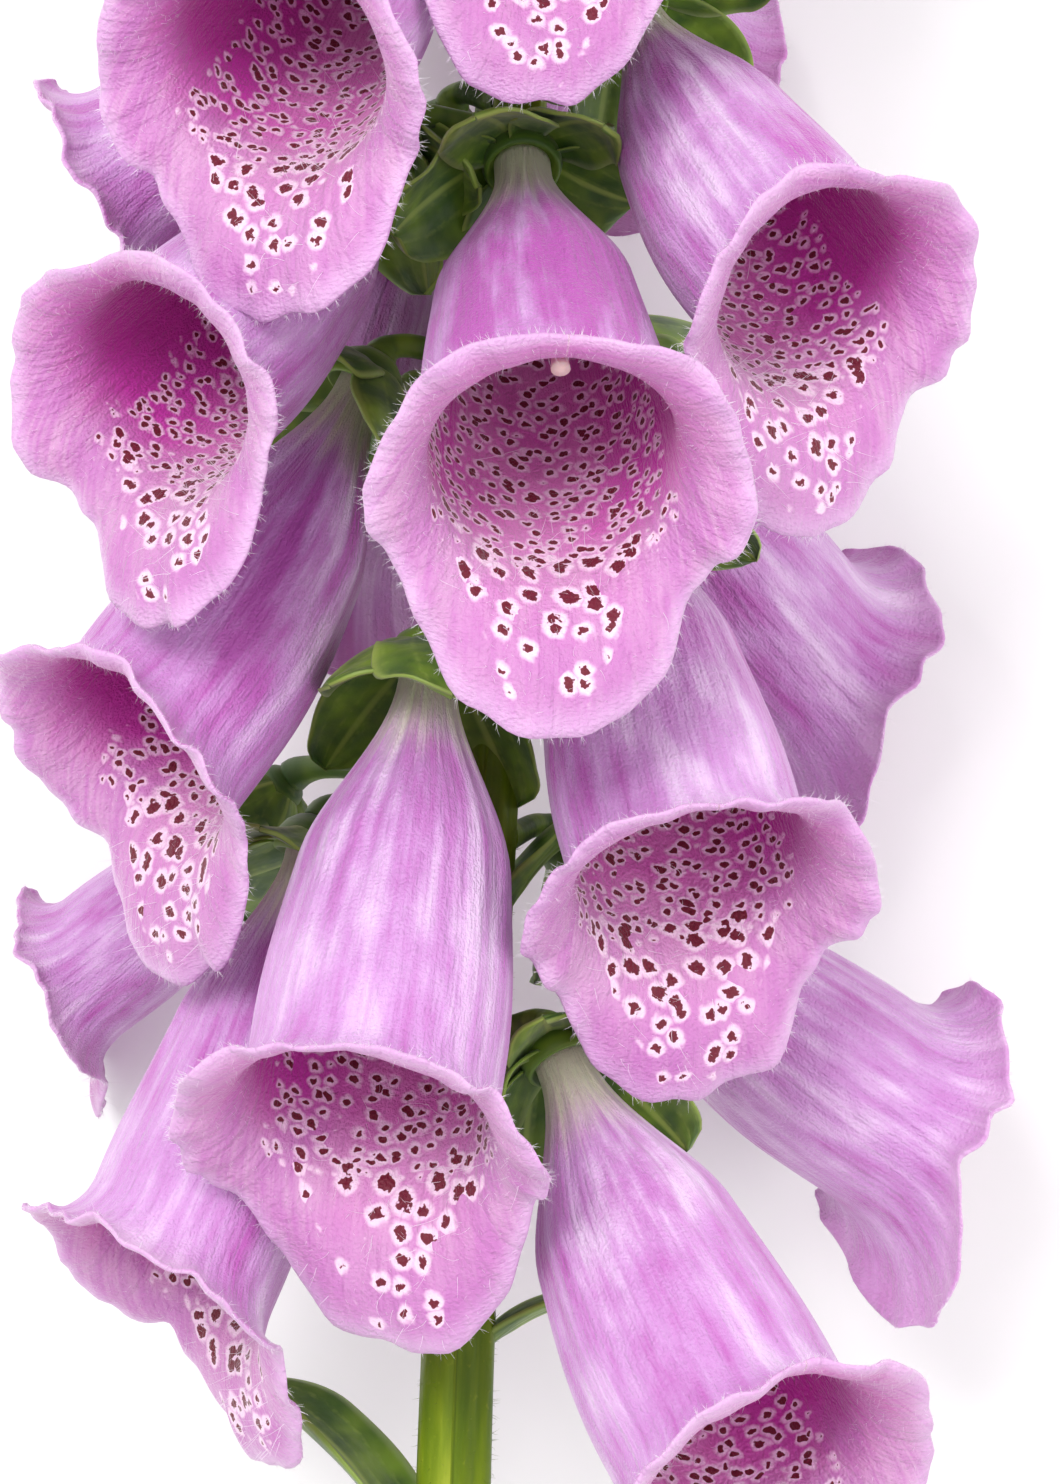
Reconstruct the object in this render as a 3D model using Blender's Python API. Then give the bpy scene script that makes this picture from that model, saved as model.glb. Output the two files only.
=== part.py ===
"""A cut foxglove flower spike lying on its back on a surface.

The stem runs along +Y with its tip at +Y, and the open bells face up, +Z.
Every corolla (its petals are fused into one bell) is one thin-walled closed
body. Each calyx, with its stalk and five sepals, is another. Lengths in the
constants and tables are millimetres and angles are degrees.
"""
from math import cos, pi, radians, sin

import bpy
import numpy as np

MM = 0.001
STEM_HEIGHT = 33.67           # stem axis above the surface
CENTRE_SHIFT = (-1.64, -33.67)  # puts the middle of the spike over the origin

# Stem: cut end, tip, and how it leans and swells along the way.
STEM_BOTTOM = -106.0
STEM_TOP = 163.0
STEM_RINGS = 14
STEM_SIDES = 10
STEM_THICK = 3.3
STEM_THIN = 1.0

# Corolla wall and mesh.
WALL = 0.7
BELL_SIDES = 16
TUBE_RINGS = 4
LIP_RINGS = 3

# Name, neck x, y, z from the stem line, azimuth, droop, roll, size, seed.
FLOWERS = (
    ("01", -4.0, 77.0, 7.5, -26, 48, 3, 0.90, 1),
    ("02", 3.8, 89.8, 9.2, 5, 45, -6, 0.80, 2),
    ("03", 12.5, 61.0, 4.0, 35, 45, -4, 0.88, 3),
    ("04", -8.0, 50.0, 3.0, -38, 52, 8, 0.87, 4),
    ("05", 3.5, 47.3, 9.0, 6, 46, -2, 0.93, 5),
    ("06", -9.5, 30.0, 2.0, -56, 36, -2, 0.91, 6),
    ("07", -4.0, 6.7, 9.0, -18, 24, 3, 0.97, 7),
    ("08", 10.0, 22.0, 4.0, 25, 28, 12, 0.91, 8),
    ("09", 8.0, 33.0, -6.0, 128, 45, -14, 0.86, 9),
    ("10", 8.0, -9.0, -6.0, 105, 52, -22, 0.88, 10),
    ("11", -14.0, -8.6, 0.0, -62, 21, 0, 0.90, 11),
    ("12", -17.5, -4.0, -16.05, -112, 50, -40, 0.62, 12),
    ("13", -8.0, 69.5, -6.0, -92, 46, 8, 0.76, 13),
    ("14", -3.0, 99.0, -2.0, -80, 46, 10, 0.72, 14),
    ("15", 6.6, -25.6, 4.9, 39, 38, 7, 0.97, 15),
    ("16", -3.0, 52.0, -7.4, -150, 31.4, 8, 0.84, 20),
    ("17", 5.0, 86.0, -6.8, 150, 38.2, 0, 0.78, 18),
    ("18", 8.5, 101.0, 4.0, 70, 48, 0, 0.74, 16),
    ("19", -3.0, 113.2, 7.0, -20, 50, 0, 0.66, 17),
    ("20", 6.0, 121.0, 5.0, 45, 50, 0, 0.58, 19),
)

# Buds wind up the stem by the golden angle, smaller and less bowed each time.
BUD_COUNT = 13
BUD_START = 121.5
BUD_STEP = 3.15
BUD_FIRST_AZIMUTH = 170.0
GOLDEN_ANGLE = 137.5

# Name, place along the stem, azimuth, length, width, lift from the stem, bend.
BRACTS = (
    ("01", -72.0, -112, 26.0, 9.0, 14, 62),
    ("02", -50.0, 92, 11.0, 4.2, 48, 45),
)

LILAC = (0.62, 0.27, 0.64, 1.0)
LEAF_GREEN = (0.10, 0.20, 0.02, 1.0)
STEM_GREEN = (0.22, 0.33, 0.03, 1.0)
BUD_GREEN = (0.32, 0.42, 0.14, 1.0)
CREAM = (0.80, 0.74, 0.55, 1.0)


def clear_scene():
    """Remove every object so that the file starts empty."""
    for item in list(bpy.data.objects):
        bpy.data.objects.remove(item, do_unlink=True)


def finish(name, colour, roughness):
    """A plain material in one colour."""
    material = bpy.data.materials.new(name)
    material.use_nodes = True
    shader = material.node_tree.nodes["Principled BSDF"]
    shader.inputs["Base Color"].default_value = colour
    shader.inputs["Roughness"].default_value = roughness
    shader.inputs["Metallic"].default_value = 0.0
    return material


def smooth(x):
    """A soft step from 0 to 1."""
    x = np.clip(x, 0.0, 1.0)
    return x * x * (3.0 - 2.0 * x)


def unit(vector):
    """The vector with length one."""
    vector = np.asarray(vector, dtype=float)
    return vector / np.linalg.norm(vector)


def stem_point(y):
    """A point on the stem's middle line: it leans and bows a little."""
    return np.array([0.74 + 0.038 * y + 0.6 * sin(y / 31.0), y, 0.5 * cos(y / 27.0)])


def stem_radius(y):
    """The stem thins evenly towards the tip."""
    along = (y - STEM_BOTTOM) / (STEM_TOP - STEM_BOTTOM)
    return STEM_THICK + (STEM_THIN - STEM_THICK) * along ** 1.4


def flower_frame(azimuth, droop, roll=0.0):
    """The way a flower hangs: along its axis, towards its back, and sideways."""
    turn, lean, spin = radians(azimuth), radians(droop), radians(roll)
    out = np.array([sin(turn), 0.0, cos(turn)])
    up = np.array([0.0, 1.0, 0.0])
    axis = sin(lean) * out - cos(lean) * up
    back = sin(lean) * up + cos(lean) * out
    side = np.cross(axis, back)
    back = cos(spin) * back + sin(spin) * side
    return axis, back, np.cross(axis, back)


def place(local, neck, frame):
    """Turn (along, back, side) millimetres into points around the neck."""
    axis, back, side = frame
    return neck + local[..., :1] * axis + local[..., 1:2] * back + local[..., 2:] * side


def tube_radius(along):
    """The bell's radius: a narrow neck, then a full tube."""
    return 2.5 + 5.6 * smooth((along - 1.5) / 17.0) + 2.6 * smooth((along - 10.0) / 24.0)


def lobe(angle, centre, width):
    """One bump of the lip, mirrored left and right."""
    return np.exp(-(((np.abs(angle) - centre) / width) ** 2))


def bell_rings(size, seed, inset):
    """Rings from the neck to the lip, as (along, back, side) in millimetres.

    Angle 0 is the middle of the long lower lip and pi is the short upper lip.
    The lip leaves the tube along an arc whose length and turn follow the lobes.
    """
    angle = np.arange(BELL_SIDES) / BELL_SIDES * 2.0 * pi - pi
    inset = inset / size
    upward = 0.5 * (1.0 - np.cos(angle))
    tube = 42.0 - 7.0 * upward - np.sin(angle) ** 2
    lower = lobe(angle, 0.0, 0.62)
    middle = lobe(angle, 1.36, 0.46)
    upper = lobe(angle, 2.52, 0.46)
    between = 1.0 - np.clip(lower + middle + upper, 0.0, 1.0)
    reach = 6.3 + 2.2 * upper + 3.6 * middle + 9.5 * lower
    turn = np.radians(92.0 * upper + 70.0 * middle + 50.0 * lower + 66.0 * between)
    shift = np.random.default_rng(seed).uniform(0.0, 2.0 * pi, 3)
    wave = np.sin(3 * angle + shift[0]) + 0.8 * np.sin(5 * angle + shift[1])
    wave = 0.385 * (wave + 0.6 * np.sin(8 * angle + shift[2]))
    rings = []
    for ring in range(TUBE_RINGS):
        along = tube * ring / TUBE_RINGS
        rings.append((along + (inset if ring == 0 else 0.0), tube_radius(along) - inset))
    for ring in range(LIP_RINGS + 1):
        part = ring / LIP_RINGS
        lift = wave * part ** 2 - inset
        bend = turn * part
        along = tube + reach * np.sin(bend) / turn - lift * np.sin(bend)
        radius = tube_radius(tube) + reach * (1.0 - np.cos(bend)) / turn + lift * np.cos(bend)
        rings.append((along, radius))
    along = np.array([ring[0] for ring in rings])
    radius = np.array([ring[1] for ring in rings])
    belly = -1.6 * np.sin(pi * np.clip(along / 46.0, 0.0, 1.0))
    squash = np.where(np.cos(angle) > 0.0, 0.95, 0.90)
    back = belly - radius * np.cos(angle) * squash
    return np.stack([along, back, radius * np.sin(angle)], axis=-1) * size


def make_body(name, rings, material):
    """Join rings of points into one closed, smooth body that faces out."""
    rings = np.asarray(rings, dtype=float)
    count, sides = rings.shape[:2]
    points = (rings + (CENTRE_SHIFT[0], CENTRE_SHIFT[1], STEM_HEIGHT)) * MM
    faces = [tuple(range(sides)), tuple((count - 1) * sides + i for i in reversed(range(sides)))]
    for ring in range(count - 1):
        for i in range(sides):
            j = (i + 1) % sides
            low, high = ring * sides, (ring + 1) * sides
            faces.append((low + j, low + i, high + i, high + j))
    mesh = bpy.data.meshes.new(name)
    mesh.from_pydata(points.reshape(-1, 3).tolist(), [], faces)
    if signed_volume(mesh) < 0.0:
        mesh.flip_normals()
    mesh.shade_smooth()
    mesh.set_sharp_from_angle(angle=radians(70.0))
    mesh.materials.append(material)
    body = bpy.data.objects.new(name, mesh)
    bpy.context.scene.collection.objects.link(body)
    return body


def signed_volume(mesh):
    """Six times the enclosed volume: negative if the faces point inwards."""
    mesh.calc_loop_triangles()
    total = 0.0
    for triangle in mesh.loop_triangles:
        a, b, c = (mesh.vertices[i].co for i in triangle.vertices)
        total += a.dot(b.cross(c))
    return total


def sweep(points, radii, sides, flat_way=(0.0, 0.0, 1.0), first_way=None):
    """Rings around a path. The first ring can face a way of its own."""
    points = np.asarray(points, dtype=float)
    way = np.gradient(points, axis=0)
    if first_way is not None:
        way[0] = first_way
    angle = np.arange(sides) / sides * 2.0 * pi
    rings = []
    for point, direction, radius in zip(points, way, radii):
        direction = unit(direction)
        across = unit(np.cross(direction, flat_way))
        thin = np.cross(across, direction)
        ring = np.outer(np.cos(angle), across) + np.outer(np.sin(angle), thin)
        rings.append(point + ring * radius)
    return rings


def curve_points(start, pull_out, pull_in, end, count):
    """Evenly spaced steps along a cubic curve with its two handles."""
    t = np.linspace(0.0, 1.0, count)[:, None]
    first = (1 - t) ** 3 * start + 3 * (1 - t) ** 2 * t * pull_out
    return first + 3 * (1 - t) * t ** 2 * pull_in + t ** 3 * end


def stalk_points(neck, axis, seat):
    """The stalk's path: straight out from the stem, then over into the flower."""
    end = neck - axis * seat
    foot_y = end[1] - 0.3
    middle = stem_point(foot_y)
    out = unit([end[0] - middle[0], 0.0, end[2] - middle[2]])
    start = middle + out * (stem_radius(foot_y) + 0.45)
    gap = np.linalg.norm(end - start)
    pull_out, pull_in = min(2.4, 0.35 * gap), min(3.2, 0.4 * gap)
    return curve_points(start, start + out * pull_out, end - axis * pull_in, end, 4), out


def make_calyx(name, neck, frame, size, material):
    """A stalk, the seat of the flower and its star of five pointed sepals."""
    stalk, out = stalk_points(neck, frame[0], 3.0 * size)
    girth = np.array([1.15, 1.0, 1.0, 1.5]) * size
    rings = carried_rings(stalk, girth, 10, out, frame)
    angle = np.arange(10) / 5.0 * pi
    tips = np.arange(10) % 2 == 0
    outline = (
        (-1.7, 3.3, -1.7, 3.3),
        (1.0, 5.0, 0.8, 4.4),
        (6.0, 8.0, 2.4, 5.2),
        (11.5, 9.6, 3.0, 5.6),
    )
    inner = (
        (10.9, 9.0, 2.9, 5.0),
        (6.1, 7.2, 2.3, 4.5),
        (1.4, 4.4, 1.2, 3.9),
        (-0.6, 3.1, -0.6, 3.1),
    )
    cup = []
    for tip_along, tip_radius, gap_along, gap_radius in outline + inner:
        along = np.where(tips, tip_along, gap_along)
        radius = np.where(tips, tip_radius, gap_radius)
        local = np.stack([along, radius * np.sin(angle), radius * np.cos(angle)], axis=-1)
        cup.append(place(local * size, neck, frame))
    return make_body(name, rings + cup, material)


def carried_rings(points, radii, sides, first_way, last_frame):
    """Rings around a path that never twist, worked back from the frame at its end."""
    way = np.gradient(points, axis=0)
    way[0], way[-1] = first_way, last_frame[0]
    back = last_frame[1]
    angle = np.arange(sides) / sides * 2.0 * pi
    rings = []
    for point, direction, radius in zip(points[::-1], way[::-1], radii[::-1]):
        direction = unit(direction)
        back = unit(back - np.dot(back, direction) * direction)
        ring = np.outer(np.sin(angle), back) + np.outer(np.cos(angle), np.cross(direction, back))
        rings.append(point + ring * radius)
    return rings[::-1]


def make_corolla(name, neck, frame, size, seed, material):
    """The fused petals: an outer skin, the lip's edge and an inner skin."""
    outer = place(bell_rings(size, seed, 0.0), neck, frame)
    inner = place(bell_rings(size, seed, WALL), neck, frame)
    return make_body(name, np.concatenate([outer, inner[::-1]]), material)


def make_bud(name, neck, frame, length, width, material):
    """A closed bud with its stalk, fattest before the middle."""
    axis = frame[0]
    stalk, out = stalk_points(neck, axis, 0.5)
    share = np.array([0.12, 0.35, 0.62, 0.85, 0.97])
    body = neck + np.outer(share * length, axis)
    fat = np.array([0.72, 1.0, 0.86, 0.5, 0.18]) * width / 2.0
    points = np.concatenate([stalk, body])
    radii = np.concatenate([[0.8, 0.75, 0.8, 1.1], fat])
    rings = sweep(points, radii, 8, flat_way=frame[1], first_way=out)
    return make_body(name, rings, material)


def make_bract(name, y, azimuth, length, width, lift, bend, material):
    """A small leaf that stands off the stem and bends back at its point."""
    out = np.array([sin(radians(azimuth)), 0.0, cos(radians(azimuth))])
    up = np.array([0.0, 1.0, 0.0])
    point = stem_point(y) + out * (stem_radius(y) + 0.6)
    points = [point]
    steps = 6
    for step in range(steps):
        lean = radians(lift + bend * step / (steps - 1))
        point = point + (cos(lean) * up + sin(lean) * out) * length / steps
        points.append(point)
    half = np.array([0.28, 0.62, 0.95, 1.0, 0.82, 0.5, 0.1]) * width / 2.0
    across = np.cross(out, up)
    rings = []
    for index, (centre, reach) in enumerate(zip(points, half)):
        way = unit(points[min(index + 1, steps)] - points[max(index - 1, 0)])
        face = np.cross(across, way)
        thick = 0.45 if index < steps else 0.25
        corners = ((-1, 0), (-0.5, 1), (0.5, 1), (1, 0), (0.5, -1), (-0.5, -1))
        rings.append([centre + across * reach * a + face * thick * b for a, b in corners])
    return make_body(name, rings, material)


def make_pistil(name, neck, frame, size, material):
    """The style with its stigma, lying along the bell's back wall."""
    along = np.array([3.0, 8.0, 16.0, 24.0, 31.0, 34.5])
    rise = np.array([0.0, 1.2, 3.6, 5.2, 5.6, 5.4])
    points = neck + (np.outer(along, frame[0]) + np.outer(rise, frame[1])) * size
    return make_body(name, sweep(points, [0.5, 0.5, 0.55, 0.6, 0.95, 0.7], 6, flat_way=frame[2]), material)


def build_bud(index):
    """One bud of the winding row, with its size and bow read from its place."""
    share = index / (BUD_COUNT - 1)
    azimuth = BUD_FIRST_AZIMUTH + GOLDEN_ANGLE * index
    frame = flower_frame(azimuth, 52.0 + 34.0 * share)
    out = np.array([sin(radians(azimuth)), 0.0, cos(radians(azimuth))])
    neck = stem_point(BUD_START + BUD_STEP * index) + out * (8.4 - 4.0 * share)
    length = 25.0 - 18.5 * share
    width = 9.4 - 5.6 * share
    name = "bud_{:02d}".format(index + 1)
    make_bud(name, neck, frame, length, width, finish(name, BUD_GREEN, 0.5))


def build():
    """Make the whole spike."""
    clear_scene()
    rows = np.linspace(STEM_BOTTOM, STEM_TOP, STEM_RINGS)
    middle = [stem_point(y) for y in rows]
    girth = [stem_radius(y) for y in rows]
    make_body("stem", sweep(middle, girth, STEM_SIDES), finish("stem", STEM_GREEN, 0.5))
    for label, x, y, z, azimuth, droop, roll, size, seed in FLOWERS:
        neck = np.array([x, y, z])
        frame = flower_frame(azimuth, droop, roll)
        make_corolla("corolla_" + label, neck, frame, size, seed, finish("corolla_" + label, LILAC, 0.55))
        make_calyx("calyx_" + label, neck, frame, size, finish("calyx_" + label, LEAF_GREEN, 0.5))
    for index in range(BUD_COUNT):
        build_bud(index)
    for label, *shape in BRACTS:
        make_bract("bract_" + label, *shape, finish("bract_" + label, LEAF_GREEN, 0.5))
    label, x, y, z, azimuth, droop, roll, size, seed = FLOWERS[4]
    frame = flower_frame(azimuth, droop, roll)
    make_pistil("pistil_05", np.array([x, y, z]), frame, size, finish("pistil_05", CREAM, 0.5))
    top = stem_point(STEM_TOP)
    points = [top + (0.0, 0.4 + d, 0.0) for d in (0.0, 1.5, 4.5, 8.0, 10.0)]
    tip = sweep(points, [1.4, 2.6, 3.0, 1.9, 0.5], 8)
    make_body("tip", tip, finish("tip", BUD_GREEN, 0.5))


build()
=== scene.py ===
"""A cut foxglove flower spike lying on its back on a pale surface.

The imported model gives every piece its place. This script builds the petals,
leaves, hairs and stem that are seen, each over the plain body it stands for.
Lengths inside the classes are millimetres and angles are degrees, unless a
name says otherwise; meshes are made in metres.
"""

from __future__ import annotations

import logging
import math
from dataclasses import dataclass, field
from enum import Enum
from typing import Any, Sequence

import bpy
import numpy as np
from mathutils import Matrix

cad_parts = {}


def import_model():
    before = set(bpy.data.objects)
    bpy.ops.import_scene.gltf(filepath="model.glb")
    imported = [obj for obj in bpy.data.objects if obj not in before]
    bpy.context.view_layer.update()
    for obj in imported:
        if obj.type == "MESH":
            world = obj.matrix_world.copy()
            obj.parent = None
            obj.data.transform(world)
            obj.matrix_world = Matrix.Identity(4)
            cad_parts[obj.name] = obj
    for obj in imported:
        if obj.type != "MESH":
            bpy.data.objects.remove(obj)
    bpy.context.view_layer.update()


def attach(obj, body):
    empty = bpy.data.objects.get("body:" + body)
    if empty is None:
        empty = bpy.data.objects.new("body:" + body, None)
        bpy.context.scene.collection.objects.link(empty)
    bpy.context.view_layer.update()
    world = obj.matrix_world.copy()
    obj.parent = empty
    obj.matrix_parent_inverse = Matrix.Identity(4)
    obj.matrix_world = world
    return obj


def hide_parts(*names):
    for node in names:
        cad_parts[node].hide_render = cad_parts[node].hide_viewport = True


LOG = logging.getLogger("foxglove")
MM = 0.001
SHIFT = np.array([-1.64, -33.67, 33.67])  # from the stem's own line to the frame
BODY = "root"
PRESS = 0.8  # below this height petals bend until they lie on the surface
FULL_TURN = 2.0 * np.pi
GOLDEN_ANGLE = 137.5  # between one bud and the next up the stem
SEPALS = 5
Array = np.ndarray
Rng = np.random.Generator
Socket = bpy.types.NodeSocket
Material = bpy.types.Material
Piece = bpy.types.Object
TIPWARD = np.array([0.0, 1.0, 0.0])
UPWARD = np.array([0.0, 0.0, 1.0])


# ---- node helpers


class Value:
    """A number that varies over a surface, written with ordinary operators."""

    def __init__(self, kit: NodeKit, socket: Socket) -> None:
        """Wrap one output socket."""
        self.kit = kit
        self.socket = socket

    def _maths(self, operation: str, *terms: Any) -> Value:
        """Add a Math node that joins the terms."""
        made = self.kit.add("ShaderNodeMath", {"operation": operation}, dict(enumerate(terms)))
        return Value(self.kit, made.outputs[0])

    def __add__(self, other: Any) -> Value:
        """Sum."""
        return self._maths("ADD", self, other)

    def __radd__(self, other: Any) -> Value:
        """Sum, reflected."""
        return self._maths("ADD", other, self)

    def __sub__(self, other: Any) -> Value:
        """Difference."""
        return self._maths("SUBTRACT", self, other)

    def __rsub__(self, other: Any) -> Value:
        """Difference, reflected."""
        return self._maths("SUBTRACT", other, self)

    def __mul__(self, other: Any) -> Value:
        """Product."""
        return self._maths("MULTIPLY", self, other)

    def __rmul__(self, other: Any) -> Value:
        """Product, reflected."""
        return self._maths("MULTIPLY", other, self)

    def __abs__(self) -> Value:
        """Size without sign."""
        return self._maths("ABSOLUTE", self)

    def larger(self, other: Any) -> Value:
        """The larger of the two."""
        return self._maths("MAXIMUM", self, other)

    def smaller(self, other: Any) -> Value:
        """The smaller of the two."""
        return self._maths("MINIMUM", self, other)

    def sine(self) -> Value:
        """Sine of the value in radians."""
        return self._maths("SINE", self)

    def step(self, low: Any, high: Any) -> Value:
        """A soft step.

        Args:
            low: where the step leaves 0.
            high: where it reaches 1; below low the step falls instead.

        Returns:
            A value from 0 to 1.
        """
        made = self.kit.add(
            "ShaderNodeMapRange",
            {"interpolation_type": "SMOOTHSTEP", "clamp": True},
            {"Value": self, "From Min": low, "From Max": high, "To Min": 0.0, "To Max": 1.0},
        )
        return Value(self.kit, made.outputs[0])


class NodeKit:
    """Adds nodes to one material."""

    def __init__(self, name: str) -> None:
        """Start an empty material."""
        self.material = bpy.data.materials.new(name)
        self.material.use_nodes = True
        self.tree = self.material.node_tree
        self.tree.nodes.clear()

    def add(self, kind: str, settings: dict[str, Any], inputs: dict[Any, Any]) -> bpy.types.Node:
        """Add one node.

        Args:
            kind: the node's type name.
            settings: properties set before the sockets are filled.
            inputs: socket name or number to a value, a Value or an output socket.

        Returns:
            The node.
        """
        node = self.tree.nodes.new(kind)
        for key, setting in settings.items():
            setattr(node, key, setting)
        for key, given in inputs.items():
            source = given.socket if isinstance(given, Value) else given
            if isinstance(source, Socket):
                self.tree.links.new(source, node.inputs[key])
            else:
                node.inputs[key].default_value = source
        return node

    def stored(self, name: str) -> Value:
        """A number stored on the mesh's points."""
        node = self.add("ShaderNodeAttribute", {"attribute_name": name}, {})
        return Value(self, node.outputs["Fac"])

    def place(self, x: Any, y: Any, z: Any) -> Socket:
        """A position from three numbers."""
        return self.add("ShaderNodeCombineXYZ", {}, {0: x, 1: y, 2: z}).outputs[0]

    def noise(self, where: Any, detail: float = 2.0, scale: float = 1.0) -> Value:
        """Cloudy noise.

        Args:
            where: a position socket, or its three numbers.
            detail: how many finer layers it has.
            scale: clouds per unit.

        Returns:
            A value from 0 to 1.
        """
        if isinstance(where, tuple):
            where = self.place(*where)
        inputs = {"Vector": where, "Scale": scale, "Detail": detail}
        return Value(self, self.add("ShaderNodeTexNoise", {}, inputs).outputs[0])

    def cells(self, x: Value, y: Value, shift: float) -> tuple[Value, Value]:
        """Dots scattered over a flat pattern, about one to each unit square.

        Args:
            x: place across the pattern.
            y: place along it.
            shift: which of many scatterings is used.

        Returns:
            Distance to the nearest dot, and a number that is the dot's own.
        """
        offset = (shift * 7.3, shift * 3.7, 0.0)
        inputs = {0: self.place(x, y, 0.0), 1: offset}
        moved = self.add("ShaderNodeVectorMath", {"operation": "ADD"}, inputs)
        node = self.add(
            "ShaderNodeTexVoronoi",
            {"feature": "F1", "voronoi_dimensions": "2D"},
            {"Vector": moved.outputs[0], "Scale": 1.0, "Randomness": 0.85},
        )
        own = self.add("ShaderNodeSeparateColor", {}, {0: node.outputs["Color"]})
        return Value(self, node.outputs["Distance"]), Value(self, own.outputs[0])

    def mix(self, share: Any, first: Any, second: Any) -> Socket:
        """Blend two colours: the first at share 0 and the second at share 1."""
        node = self.add("ShaderNodeMix", {"data_type": "RGBA"}, {0: share, 6: first, 7: second})
        return node.outputs[2]

    def bump(self, height: Value, strength: float, distance: float) -> Socket:
        """A normal from a height."""
        inputs = {"Height": height, "Strength": strength, "Distance": distance}
        return self.add("ShaderNodeBump", {}, inputs).outputs[0]


def tint(red: int, green: int, blue: int) -> tuple[float, float, float, float]:
    """Turn a colour as shown on a screen into light.

    Args:
        red, green, blue: parts from 0 to 255.

    Returns:
        The colour with an opaque fourth part.
    """
    parts = []
    for part in (red, green, blue):
        share = part / 255.0
        parts.append(share / 12.92 if share <= 0.04045 else ((share + 0.055) / 1.055) ** 2.4)
    return (parts[0], parts[1], parts[2], 1.0)


# ---- finishes


def flesh(weight: float, spread: tuple[float, float, float]) -> dict[str, Any]:
    """How light passes through a soft, living skin about a millimetre deep.

    Args:
        weight: how much of it passes.
        spread: how far red, green and blue go.

    Returns:
        The shader's sockets and their values.
    """
    return {"Subsurface Weight": weight, "Subsurface Radius": spread, "Subsurface Scale": MM}


@dataclass(frozen=True)
class Finish:
    """A material whose pattern differs with its seed."""

    seed: float = 0.0

    def paint(self, kit: NodeKit) -> dict[str, Any]:
        """The shader's sockets and what they hold."""
        raise NotImplementedError

    def build(self, name: str) -> Material:
        """Make the material.

        Args:
            name: what it is called.

        Returns:
            The material.
        """
        kit = NodeKit(name)
        shader = kit.add("ShaderNodeBsdfPrincipled", {}, self.paint(kit))
        kit.add("ShaderNodeOutputMaterial", {}, {"Surface": shader.outputs[0]})
        return kit.material


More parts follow.
